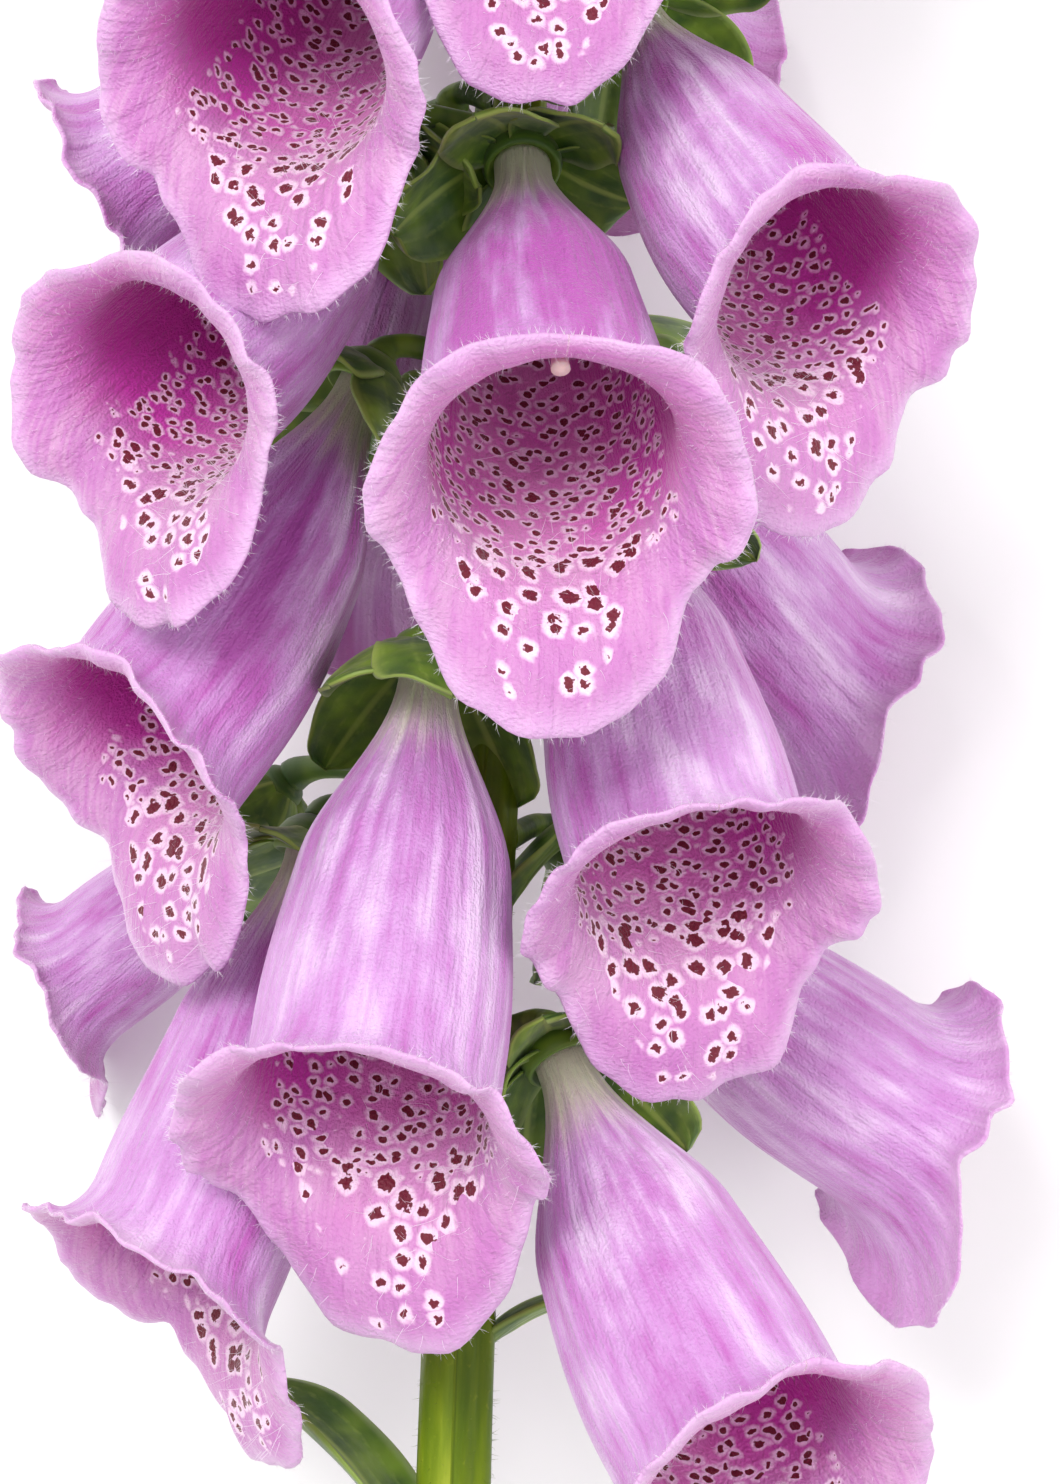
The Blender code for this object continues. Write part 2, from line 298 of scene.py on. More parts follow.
@dataclass(frozen=True)
class PetalFinish(Finish):
    """Lilac petal: streaked outside, magenta and speckled inside."""

    depth: float = 0.5
    pale: tuple = tint(230, 200, 234)
    lilac: tuple = tint(204, 148, 208)
    rich: tuple = tint(184, 84, 176)
    neck: tuple = tint(232, 228, 198)
    lip: tuple = tint(207, 156, 198)
    lip_vein: tuple = tint(193, 121, 186)
    throat: tuple = tint(196, 54, 168)
    floor: tuple = tint(230, 156, 208)
    halo: tuple = tint(246, 214, 236)
    spot: tuple = tint(108, 6, 38)

    def outside(self, kit: NodeKit, along: Value, edge: Value) -> Socket:
        """Colour of the outer skin, in streaks that run along it.

        Args:
            kit: the material's nodes.
            along: distance from the neck.
            edge: 0 in the tube and 1 at the rim.

        Returns:
            The colour.
        """
        x, y = kit.stored("left"), kit.stored("down")
        seed = self.seed
        streaks = kit.noise((x * 0.75, y * 0.75, along * 0.04 + seed), 3.0)
        fine = kit.noise((x * 3.2, y * 3.2, along * 0.09 + seed), 3.0)
        clouds = kit.noise((x * 0.20 + seed, y * 0.20, along * 0.07), 2.0)
        flecks = kit.noise((x * 0.55, y * 0.55, along * 0.17 + seed), 4.0)
        deep = clouds * 1.2 + streaks * 0.9 + flecks * 0.75 + fine * 0.35 - 1.62 + self.depth * 0.5
        colour = kit.mix(deep.step(-0.30, 0.22), self.pale, self.lilac)
        colour = kit.mix(deep.step(0.12, 0.60) * 0.9, colour, self.rich)
        shoulder = along.step(5.0, 11.0) * along.step(33.0, 16.0) * (flecks + streaks).step(0.8, 1.3)
        colour = kit.mix(shoulder * (0.15 + self.depth * 0.8), colour, self.rich)
        colour = kit.mix((along + streaks * 9.0 + fine * 4.0).step(18.0, 8.5), colour, self.neck)
        return kit.mix(edge.step(0.35, 1.0) * 0.4, colour, self.lip)

    def inside(self, kit: NodeKit, along: Value, around: Value, edge: Value) -> Socket:
        """Colour of the inner skin, with its speckles.

        Args:
            kit: the material's nodes.
            along: distance from the neck.
            around: distance round from the lower lobe's middle.
            edge: 0 in the tube and 1 at the rim.

        Returns:
            The colour.
        """
        veins = kit.noise((around * 1.5, along * 0.16, self.seed + 2.0), 4.0)
        clouds = kit.noise((around * 0.18, along * 0.18, self.seed + 5.0), 3.0)
        middle = abs(around)
        tongue = middle.step(14.0, 6.0) * along.step(43.0, 51.0) * 0.5
        lip = kit.mix((veins * 0.8 + clouds * 0.9).step(0.62, 1.05), self.lip, self.lip_vein)
        lip = kit.mix(tongue, lip, self.lip_vein)
        depth = (along + clouds * 8.0).step(47.5, 38.0)
        colour = kit.mix(depth, lip, self.throat)
        ground = middle.step(11.0, 3.0) * along.step(54.0, 40.0) * (clouds * 1.3 - 0.1)
        colour = kit.mix(ground.smaller(1.0).larger(0.0) * 0.8, colour, self.floor)
        colour = kit.mix(edge.step(0.78, 1.0) * 0.45, colour, self.pale)
        return self._speckle(kit, colour, along, around)

    def _speckle(self, kit: NodeKit, colour: Any, along: Value, around: Value) -> Socket:
        """Add small dots in the throat and larger ringed blots near the lip.

        Args:
            kit: the material's nodes.
            colour: the petal without its dots.
            along: distance from the neck.
            around: distance round from the lower lobe's middle.

        Returns:
            The colour.
        """
        middle = abs(around)
        wander = kit.noise((around * 0.7, along * 0.7, self.seed + 1.0), 2.0) - 0.5
        ragged = kit.noise((around * 2.3, along * 2.3, self.seed + 3.0), 1.0) - 0.5
        x = around + wander * 1.3
        y = along - wander * 1.3
        reach = middle.step(16.0, 12.5) * along.step(5.0, 12.0)
        small, small_own = kit.cells(x * 0.58, y * 0.76, self.seed)
        small = small + along.step(41.0, 44.5) * 0.6 + (1.0 - reach) * 0.6 + small_own * 0.07
        small = small + small_own.step(0.82, 0.94) * 0.5
        large, large_own = kit.cells(x * 0.43, y * 0.45, self.seed + 0.5)
        taper = middle + (along - 42.0).larger(0.0) * 0.52
        zone = taper.step(11.0, 9.6) * along.step(39.0, 41.0) * along.step(57.0, 54.5)
        large = large + (1.0 - zone) * 0.8 + large_own.step(0.72, 0.86) * 0.5
        large = large + (along - 45.0).larger(0.0) * 0.013 + large_own * 0.10
        ring = (small.step(0.58, 0.34) * 0.80).larger(large.step(0.62, 0.40) * 0.95)
        blots = (large + ragged * 0.36).step(0.325, 0.285)
        dark = (small + ragged * 0.15).step(0.285, 0.245).larger(blots)
        colour = kit.mix(ring, colour, self.halo)
        return kit.mix(dark, colour, self.spot)

    def paint(self, kit: NodeKit) -> dict[str, Any]:
        """Skin that turns inside out at the rim."""
        along, around = kit.stored("along"), kit.stored("around")
        edge, inner = kit.stored("edge"), kit.stored("inner")
        colour = kit.mix(
            inner.step(0.35, 0.65),
            self.outside(kit, along, edge),
            self.inside(kit, along, around, edge),
        )
        x, y = kit.stored("left"), kit.stored("down")
        ribs = kit.noise((x * 2.2, y * 2.2, along * 0.14 + self.seed), 3.0)
        folds = kit.noise((x * 0.8, y * 0.8, along * 0.35 + self.seed), 3.0)
        down = kit.noise((x * 5.0, y * 5.0, along * 3.4), 2.0)
        return {
            "Base Color": colour,
            "Roughness": 0.40 + down * 0.2,
            "Normal": kit.bump(ribs * 0.7 + folds * 0.8 + down * 0.42, 0.85, 0.0006),
            **flesh(0.2, (1.0, 0.5, 0.9)),
            "Sheen Weight": 0.3,
            "Sheen Roughness": 0.4,
            "Specular IOR Level": 0.42,
        }


@dataclass(frozen=True)
class LeafFinish(Finish):
    """Green leaf with pale parallel veins and a pale edge."""

    dark: tuple = tint(52, 88, 16)
    fresh: tuple = tint(122, 154, 34)
    vein: tuple = tint(164, 186, 84)

    def paint(self, kit: NodeKit) -> dict[str, Any]:
        """Long veins, a pale rib and a pale border over soft mottling."""
        along, across = kit.stored("along"), kit.stored("across")
        clouds = kit.noise((across * 1.2, along * 0.3, self.seed), 2.0)
        grain = kit.noise((across * 9.0, along * 1.4, self.seed + 3.0), 2.0)
        colour = kit.mix(clouds.step(0.30, 0.78), self.dark, self.fresh)
        lines = (across * 16.0).sine() * 0.5 + 0.5
        veins = (lines * 0.55 + grain * 0.45).step(0.68, 0.95) * 0.35
        rib = abs(across).step(0.10, 0.02) * 0.6
        border = abs(across).step(0.88, 1.0) * 0.55
        colour = kit.mix(veins.larger(rib).larger(border), colour, self.vein)
        height = lines * 0.4 + grain * 0.5
        return {
            "Base Color": colour,
            "Roughness": 0.40 + grain * 0.22,
            "Normal": kit.bump(height, 0.5, 0.00022),
            **flesh(0.12, (0.4, 1.0, 0.2)),
            "Sheen Weight": 0.15,
        }


@dataclass(frozen=True)
class StemFinish(Finish):
    """Yellow-green stalk with long fibres and a sunlit side."""

    shade: tuple = tint(66, 98, 0)
    fresh: tuple = tint(128, 152, 4)
    light: tuple = tint(182, 192, 60)

    def paint(self, kit: NodeKit) -> dict[str, Any]:
        """Long fibres in two greens, with pale flecks."""
        along, across = kit.stored("along"), kit.stored("across")
        fibre = kit.noise((across * 6.0, along * 0.07, self.seed), 3.0)
        clouds = kit.noise((across * 0.9, along * 0.025, self.seed + 2.0), 2.0)
        flecks = kit.noise((across * 14.0, along * 1.1, self.seed + 5.0), 2.0)
        colour = kit.mix((fibre * 0.6 + clouds * 0.6).step(0.36, 0.84), self.shade, self.fresh)
        colour = kit.mix((clouds + fibre * 0.5).step(0.78, 1.05) * 0.7, colour, self.light)
        colour = kit.mix(flecks.step(0.62, 0.8) * 0.25, colour, self.light)
        return {
            "Base Color": colour,
            "Roughness": 0.38 + flecks * 0.2,
            "Normal": kit.bump(fibre * 0.8 + flecks * 0.3, 0.6, 0.0004),
            "Specular IOR Level": 0.3,
            "Sheen Weight": 0.04,
        }


@dataclass(frozen=True)
class BudFinish(Finish):
    """A closed bud: green at its foot and flushed pink towards its point."""

    flush: float = 0.5
    green: tuple = tint(150, 170, 84)
    cream: tuple = tint(214, 214, 160)
    pink: tuple = tint(206, 148, 190)

    def paint(self, kit: NodeKit) -> dict[str, Any]:
        """Streaks that change colour from foot to point."""
        along, across = kit.stored("along"), kit.stored("across")
        streaks = kit.noise((across * 4.0, along * 1.2, self.seed), 2.0)
        down = kit.noise((across * 22.0, along * 16.0, self.seed + 1.0), 1.0)
        colour = kit.mix((along + streaks * 0.5).step(0.35, 1.0), self.green, self.cream)
        colour = kit.mix((along + streaks * 0.4).step(0.6, 1.15) * self.flush, colour, self.pink)
        return {
            "Base Color": colour,
            "Roughness": 0.45 + down * 0.2,
            "Normal": kit.bump(streaks * 0.6 + down * 0.3, 0.5, 0.0002),
            **flesh(0.15, (0.7, 1.0, 0.5)),
            "Sheen Weight": 0.3,
        }


@dataclass(frozen=True)
class HairFinish(Finish):
    """Fine white hair."""

    colour: tuple = tint(246, 236, 246)
    tip: tuple = tint(255, 252, 255)

    def paint(self, kit: NodeKit) -> dict[str, Any]:
        """Whiter towards the end."""
        along = kit.stored("along")
        colour = kit.mix(along.step(0.0, 1.0), self.colour, self.tip)
        return {"Base Color": colour, "Roughness": 0.3, "Sheen Weight": 0.3}


@dataclass(frozen=True)
class AntherFinish(Finish):
    """Cream style and anthers, dusted at their ends."""

    cream: tuple = tint(240, 214, 222)
    dust: tuple = tint(238, 204, 196)

    def paint(self, kit: NodeKit) -> dict[str, Any]:
        """Fine grain, dusted at the end."""
        along, across = kit.stored("along"), kit.stored("across")
        grain = kit.noise((across * 8.0, along * 30.0, self.seed), 2.0)
        colour = kit.mix((along + grain * 0.2).step(0.88, 1.05), self.cream, self.dust)
        return {
            "Base Color": colour,
            "Roughness": 0.45 + grain * 0.2,
            "Normal": kit.bump(grain, 0.4, 0.0001),
            **flesh(0.15, (1.0, 0.2, 0.1)),
        }


class FloorTone(Enum):
    """Shades of the surface under the flower."""

    PALE = tint(253, 253, 253)
    WARM = tint(250, 249, 247)


@dataclass(frozen=True)
class FloorFinish(Finish):
    """Plain matt card."""

    tone: FloorTone = FloorTone.PALE

    def paint(self, kit: NodeKit) -> dict[str, Any]:
        """Barely visible paper grain."""
        where = kit.add("ShaderNodeTexCoord", {}, {}).outputs["Object"]
        grain = kit.noise(where, 2.0, 900.0)
        colour = kit.mix(grain * 0.2, self.tone.value, FloorTone.WARM.value)
        return {"Base Color": colour, "Roughness": 0.85, "Specular IOR Level": 0.15}


# ---- mesh helpers


class Skin:
    """Gathers grids of points, with numbers stored on them, into one mesh."""

    def __init__(self, *stores: str) -> None:
        """Name the numbers that each point will carry."""
        self.points: list[Array] = []
        self.faces: list[Array] = []
        self.stores: dict[str, list[Array]] = {name: [] for name in stores}
        self.kinds: list[Array] = []
        self.count = 0

    def add_grid(self, points: Array, stored: dict[str, Any], kind: int = 0) -> None:
        """Add rows of points that close on themselves sideways.

        Args:
            points: in millimetres, rows by columns by 3, or many such grids; the first
                row and the last are left open unless their points meet.
            stored: numbers for the points.
            kind: which of the object's materials the faces take.
        """
        shape = points.shape[:-1]
        at = self.count + np.arange(math.prod(shape)).reshape(shape)
        self.count += at.size
        self.points.append(points.reshape(-1, 3))
        for name, values in self.stores.items():
            values.append(np.broadcast_to(stored[name], shape).reshape(-1))
        low, high = at[..., :-1, :], at[..., 1:, :]
        quads = np.stack([low, np.roll(low, -1, -1), np.roll(high, -1, -1), high], axis=-1)
        self.faces.append(quads.reshape(-1, 4))
        self.kinds.append(np.full(low.size, kind))

    def add_tube(
        self, path: Array, radii: Any, sides: int, toward: Array, along: Any, across: Any, kind: int = 0
    ) -> None:
        """Add a tube with closed ends.

        Args:
            path: the middle line.
            radii: a radius for each ring.
            sides: points in a ring.
            toward: the way the first point of each ring leans.
            along: the stored number, one for all or one for each ring and end.
            across: the stored number, one for all or one for each side.
            kind: which of the object's materials it takes.
        """
        grid = closed_ends(tube_grid(path, radii, sides, toward))
        self.add_grid(grid, {"along": np.reshape(along, (-1, 1)), "across": across}, kind)

    def build(self, name: str, materials: Sequence[Material]) -> Piece:
        """Make the object.

        Args:
            name: the piece's name.
            materials: its finishes, in the order the kinds number them.

        Returns:
            The object, linked to the scene and shaded smooth.
        """
        points = np.concatenate(self.points) + SHIFT
        low = points[:, 2] < PRESS
        points[low, 2] = PRESS * np.exp(points[low, 2] / PRESS - 1.0)
        faces = np.concatenate(self.faces)
        mesh = bpy.data.meshes.new(name)
        mesh.from_pydata((points * MM).tolist(), [], faces.tolist())
        for store, values in self.stores.items():
            layer = mesh.attributes.new(store, "FLOAT", "POINT")
            layer.data.foreach_set("value", np.concatenate(values).astype(np.float32))
        for material in materials:
            mesh.materials.append(material)
        mesh.polygons.foreach_set("material_index", np.concatenate(self.kinds).astype(np.int32))
        mesh.validate()
        mesh.shade_smooth()
        return show(name, mesh)


def show(name: str, data: Any) -> Piece:
    """Make an object and put it in the scene."""
    piece = bpy.data.objects.new(name, data)
    bpy.context.scene.collection.objects.link(piece)
    return piece


def smooth(x: Any) -> Array:
    """A soft step from 0 to 1."""
    x = np.clip(x, 0.0, 1.0)
    return x * x * (3.0 - 2.0 * x)


def unit(vector: Any) -> Array:
    """The vectors with length one."""
    vector = np.asarray(vector, dtype=float)
    return vector / np.linalg.norm(vector, axis=-1, keepdims=True)


def circle(sides: int) -> Array:
    """Even angles once round."""
    return np.arange(sides) / sides * FULL_TURN


def outward(turn: float) -> Array:
    """The way out from the stem at a turn in radians, 0 pointing up."""
    return np.array([math.sin(turn), 0.0, math.cos(turn)])


def rim(first: Array, second: Array, sides: int) -> Array:
    """Ways round a circle that starts at the first way and turns to the second."""
    angle = circle(sides)[:, None]
    return np.cos(angle) * first[..., None, :] + np.sin(angle) * second[..., None, :]


def with_ends(values: Array) -> Array:
    """Values from 0 to 1 with those two added at the ends."""
    return np.concatenate([[0.0], values, [1.0]])


def waves(rng: Rng, angle: Array, along: Array, turns: Sequence[int]) -> Array:
    """Soft bumps that close around a tube.

    Args:
        rng: the source of their shifts.
        angle: place round the tube.
        along: place along it.
        turns: bumps in one turn, for each set.

    Returns:
        Heights, about one at the most.
    """
    total = np.zeros(np.broadcast(angle, along).shape)
    for turn in turns:
        shift, drift = rng.uniform(0.0, FULL_TURN), rng.uniform(-3.0, 3.0)
        total += np.sin(turn * angle + drift * along + shift)
    return total / math.sqrt(len(turns))


def bow(start: Array, pull_out: Array, pull_in: Array, end: Array, count: int) -> Array:
    """Points along a cubic curve.

    Args:
        start: where it starts.
        pull_out: the handle that it leaves towards.
        pull_in: the handle that it arrives from.
        end: where it ends.
        count: how many points.

    Returns:
        The points.
    """
    t = np.linspace(0.0, 1.0, count)[:, None]
    first = (1 - t) ** 3 * start + 3 * (1 - t) ** 2 * t * pull_out
    return first + 3 * (1 - t) * t ** 2 * pull_in + t ** 3 * end


def tube_grid(path: Array, radii: Any, sides: int, toward: Array) -> Array:
    """Rings of points around a path.

    Args:
        path: the middle line.
        radii: one radius for each ring, or a radius for each ring and side.
        sides: points in a ring.
        toward: the way the first point of each ring leans.

    Returns:
        Rows by sides by 3.
    """
    way = unit(np.gradient(path, axis=0))
    across = unit(np.cross(way, toward))
    lift = np.cross(across, way)
    radii = np.asarray(radii, dtype=float)
    radii = radii[:, None] if radii.ndim == 1 else radii
    return path[:, None] + rim(lift, across, sides) * radii[..., None]


def closed_ends(grid: Array) -> Array:
    """The grid with a point-like row added at each end, so that it is closed."""
    first = np.repeat(grid[:1].mean(1, keepdims=True), grid.shape[1], 1)
    last = np.repeat(grid[-1:].mean(1, keepdims=True), grid.shape[1], 1)
    return np.concatenate([first, grid, last])


# ---- the flower


@dataclass
class Stem:
    """The stalk of the whole spike."""

    bottom: float = -106.0
    top: float = 163.0
    thick: float = 3.3
    thin: float = 1.0
    sides: int = 64
    rings: int = 420
    hairs: int = 2600

    def point(self, y: Any) -> Array:
        """The middle line: it leans and bows a little."""
        y = np.asarray(y, dtype=float)
        x = 0.74 + 0.038 * y + 0.6 * np.sin(y / 31.0)
        return np.stack([x, y, 0.5 * np.cos(y / 27.0)], axis=-1)

    def radius(self, y: Any) -> Array:
        """The stalk thins evenly towards its tip."""
        share = (np.asarray(y, dtype=float) - self.bottom) / (self.top - self.bottom)
        return self.thick + (self.thin - self.thick) * share ** 1.4

    def build(self) -> Piece:
        """Make the stalk with its ribs and its cut end."""
        rng = np.random.default_rng(40)
        y = np.linspace(self.bottom, self.top, self.rings)
        angle = circle(self.sides)
        bumps = waves(rng, angle[None], y[:, None] / 40.0, (2, 3, 7, 9))
        ribs = 0.07 * np.cos(5 * angle + 0.6)[None] + 0.05 * bumps
        radii = self.radius(y)[:, None] * (1.0 + ribs * 0.6)
        radii[0] *= 0.97
        grid = tube_grid(self.point(y), radii, self.sides, UPWARD)
        hollow = grid[:1] * 0.55 + grid[:1].mean(1, keepdims=True) * 0.45 + (0.0, 0.5, 0.0)
        grid = closed_ends(np.concatenate([hollow, grid]))
        skin = Skin("along", "across")
        along = np.concatenate([[y[0]] * 2, y, [y[-1]]])[:, None]
        skin.add_grid(grid, {"along": along, "across": angle[None] / np.pi - 1.0})
        self._add_down(skin, rng)
        return skin.build("stem_stalk", [StemFinish(3.0).build("stem_green")])

    def _add_down(self, skin: Skin, rng: Rng) -> None:
        """Grow short soft hairs all over the stalk.

        Args:
            skin: the mesh they join.
            rng: the source of their places.
        """
        count = self.hairs
        y = rng.uniform(self.bottom + 1.0, self.top - 4.0, count)
        turn = rng.uniform(0.0, FULL_TURN, count)
        out = np.stack([np.sin(turn), rng.normal(0.0, 0.25, count), np.cos(turn)], axis=-1)
        foot = self.point(y) + out * (1, 0, 1) * (self.radius(y) * 0.97)[:, None]
        add_hairs(skin, rng, foot, unit(out), rng.uniform(0.35, 0.8, count), 0.022)


def add_hairs(
    skin: Skin, rng: Rng, foot: Array, way: Array, length: Array, thick: float
) -> None:
    """Add tapering three-sided hairs, each bent a little its own way.

    Args:
        skin: the mesh they join.
        rng: the source of their bends.
        foot: where each grows.
        way: the direction it starts in.
        length: its length.
        thick: its radius at the foot.
    """
    count = len(foot)
    side = unit(np.cross(way, unit(rng.normal(size=(count, 3)))))
    other = np.cross(way, side)
    bend = rng.normal(0.0, 0.28, (count, 1))
    t = np.linspace(0.0, 1.0, 5)
    middle = (
        foot[:, None]
        + way[:, None] * (t[None, :, None] * length[:, None, None])
        + side[:, None] * ((t ** 2)[None, :, None] * (bend * length[:, None])[:, :, None])
    )
    radius = thick * (1.0 - 0.85 * t)
    points = middle[:, :, None] + rim(side, other, 3)[:, None] * radius[None, :, None, None]
    skin.add_grid(points, {"along": t[:, None], "across": 0.0})


@dataclass
class Pose:
    """Where a flower's neck is and how the flower hangs."""

    x: float
    y: float
    z: float
    azimuth: float
    droop: float
    roll: float = 0.0

    @property
    def neck(self) -> Array:
        """The neck's place from the stem's own line."""
        return np.array([self.x, self.y, self.z])

    def frame(self) -> tuple[Array, Array, Array]:
        """The ways along the flower, towards its back, and sideways."""
        turn, lean, spin = (math.radians(a) for a in (self.azimuth, self.droop, self.roll))
        out = outward(turn)
        axis = math.sin(lean) * out - math.cos(lean) * TIPWARD
        back = math.sin(lean) * TIPWARD + math.cos(lean) * out
        back = math.cos(spin) * back + math.sin(spin) * np.cross(axis, back)
        return axis, back, np.cross(axis, back)

    def put(self, local: Array) -> Array:
        """Turn (along, back, side) into points."""
        axis, back, side = self.frame()
        return self.neck + local[..., :1] * axis + local[..., 1:2] * back + local[..., 2:] * side


@dataclass
class Corolla:
    """One bell of fused petals with its lobed lip and its hairs."""

    label: str
    pose: Pose
    size: float
    seed: int
    depth: float = 0.5
    thick: float = 0.42
    sides: int = 128
    tube_rows: int = 34
    lip_rows: int = 24
    curl: float = 0.35
    rim_hairs: int = 420
    lip_hairs: int = 420
    long_hairs: int = 80

    def _lip(self, angle: Array) -> tuple[Array, Array, Array]:
        """The shape of the lip.

        Args:
            angle: place round the bell, 0 at the lower lobe's middle.

        Returns:
            The tube's length and the lip's reach and outward turn there.
        """
        upward = 0.5 * (1.0 - np.cos(angle))
        tube = 42.0 - 7.0 * upward - np.sin(angle) ** 2

        def lobe(centre: float, width: float, power: float = 2.0) -> Array:
            """One bump of the lip, mirrored left and right."""
            return np.exp(-(np.abs((np.abs(angle) - centre) / width) ** power))

        lower, middle, upper = lobe(0.0, 0.62), lobe(1.36, 0.46), lobe(2.52, 0.46)
        between = 1.0 - np.clip(lower + middle + upper, 0.0, 1.0)
        turn = np.radians(92.0 * upper + 70.0 * middle + 50.0 * lower + 66.0 * between)
        broad = lobe(0.0, 0.76, 3.0)
        reach = 5.7 + 2.6 * lobe(2.42, 0.56, 2.4) + 3.4 * lobe(1.46, 0.46, 2.4) + 9.6 * broad
        return tube, reach, turn

    @staticmethod
    def tube_radius(along: Array) -> Array:
        """A narrow neck, then a full tube."""
        return 2.5 + 5.6 * smooth((along - 1.5) / 17.0) + 2.6 * smooth((along - 10.0) / 24.0)

    def _wave(self, angle: Array) -> Array:
        """The lip's slow waves, shared with the plain body."""
        shift = np.random.default_rng(self.seed).uniform(0.0, FULL_TURN, 3)
        wave = np.sin(3 * angle + shift[0]) + 0.8 * np.sin(5 * angle + shift[1])
        return 0.385 * (wave + 0.6 * np.sin(8 * angle + shift[2]))

    @staticmethod
    def _folds(rng: Rng, angle: Array, share: Array) -> tuple[Array, Array]:
        """The tube's swellings and the creases that run along it.

        Args:
            rng: the source of their places.
            angle: place round the bell.
            share: place along the tube, from 0 to 1.

        Returns:
            Heights of the swellings, and of the creases.
        """
        swell = 0.22 * waves(rng, angle, share * 2.0, (1, 2, 3)) * smooth(share * 3.0)
        crease = 0.10 * waves(rng, angle, share * 0.4, (9, 12, 16)) * smooth(share * 4.0)
        crease = crease * smooth((1.0 - share) * 2.5)
        from_back = np.pi - np.abs(angle)
        fold = np.exp(-(((from_back - 0.15) / 0.07) ** 2)) - 0.8 * np.exp(-((from_back / 0.07) ** 2))
        return swell, crease + 0.26 * fold * smooth(share * 5.0) * smooth((0.85 - share) * 3.0)

    def _roll_out(self, tube: Array, reach: Array, turn: Array, lift: Array) -> tuple[Array, Array]:
        """Roll the lip outward from the tube's end.

        Args:
            tube: the tube's length.
            reach: the lip's own length.
            turn: how far it turns outward.
            lift: how far each of its rows stands off that curve.

        Returns:
            Places along the bell and radii, from the tube's end to the rim.
        """
        part = np.linspace(0.0, 1.0, self.lip_rows + 1)[:, None]
        bend = turn * part + self.curl * part ** 3
        halfway = (bend[1:] + bend[:-1]) / 2.0
        step = reach / self.lip_rows
        run = np.concatenate([np.zeros_like(step), np.cumsum(step * np.cos(halfway), axis=0)])
        rise = np.concatenate([np.zeros_like(step), np.cumsum(step * np.sin(halfway), axis=0)])
        return tube + run - lift * np.sin(bend), self.tube_radius(tube) + rise + lift * np.cos(bend)

    def _skin(self, inset: float) -> tuple[Array, dict[str, Array]]:
        """One skin of the bell from the neck to the lip.

        Args:
            inset: how far inside the outer skin it lies.

        Returns:
            Local points and the numbers that the finish reads.
        """
        rng = np.random.default_rng(self.seed + 100)
        angle = (circle(self.sides) - np.pi)[None]
        tube, reach, turn = self._lip(angle)
        reach = reach * (1.0 + 0.03 * waves(rng, angle, np.zeros(1), (6, 9, 13, 17, 22)))
        inset = inset / self.size
        share = (np.arange(self.tube_rows) / self.tube_rows)[:, None]
        part = np.linspace(0.0, 1.0, self.lip_rows + 1)[:, None]
        swell, crease = self._folds(rng, angle, share)
        tube_along = tube * share + np.where(share == 0.0, inset, 0.0)
        tube_radius = self.tube_radius(tube_along) + swell + crease - inset
        ruffle = 0.34 * waves(rng, angle, part, (9, 12, 16, 19)) * part ** 3
        ruffle = ruffle + 0.12 * waves(rng, angle, part, (24, 31)) * part ** 4
        lift = self._wave(angle) * part ** 2 + ruffle + swell[-1:] * (1.0 - part) - inset
        lip_along, lip_radius = self._roll_out(tube, reach, turn, lift)
        along = np.concatenate([tube_along, lip_along])
        radius = np.concatenate([tube_radius, lip_radius])
        belly = -1.6 * np.sin(np.pi * np.clip(along / 46.0, 0.0, 1.0))
        squash = np.where(np.cos(angle) > 0.0, 0.95, 0.90)
        back = belly - radius * np.cos(angle) * squash
        local = np.stack([along, back, radius * np.sin(angle)], axis=-1) * self.size
        spread = np.concatenate([self.tube_radius(tube * share), lip_radius])
        edge = np.concatenate([np.zeros_like(share), part])
        stored = {
            "along": np.concatenate([tube * share, tube + reach * part]),
            "around": angle * spread,
            "edge": edge,
            "left": 8.0 * np.sin(angle),
            "down": 8.0 * np.cos(angle),
        }
        return local, {name: np.broadcast_to(v, along.shape) for name, v in stored.items()}

    def build(self) -> Piece:
        """Make the bell: outer skin, rounded lip edge, inner skin."""
        outer, outer_stored = self._skin(0.0)
        inner, inner_stored = self._skin(self.thick)
        middle = (outer[-1:] + inner[-1:]) / 2.0
        push = unit(outer[-1:] - outer[-2:-1])
        middle = middle + push * self.thick * 0.4
        local = np.concatenate([outer, middle, inner[::-1]])
        stored = {
            name: np.concatenate([outer_stored[name], outer_stored[name][-1:], inner_stored[name][::-1]])
            for name in outer_stored
        }
        flag = np.concatenate([np.zeros(len(outer)), [0.5], np.ones(len(inner))])[:, None]
        stored["inner"] = np.broadcast_to(flag, local.shape[:-1])
        points = closed_ends(self.pose.put(local))
        stored = {name: np.concatenate([v[:1], v, v[-1:]]) for name, v in stored.items()}
        skin = Skin("along", "around", "edge", "inner", "left", "down")
        skin.add_grid(points, stored)
        finish = PetalFinish(11.7 * self.seed, self.depth)
        return skin.build("petals_" + self.label, [finish.build("petal_" + self.label)])

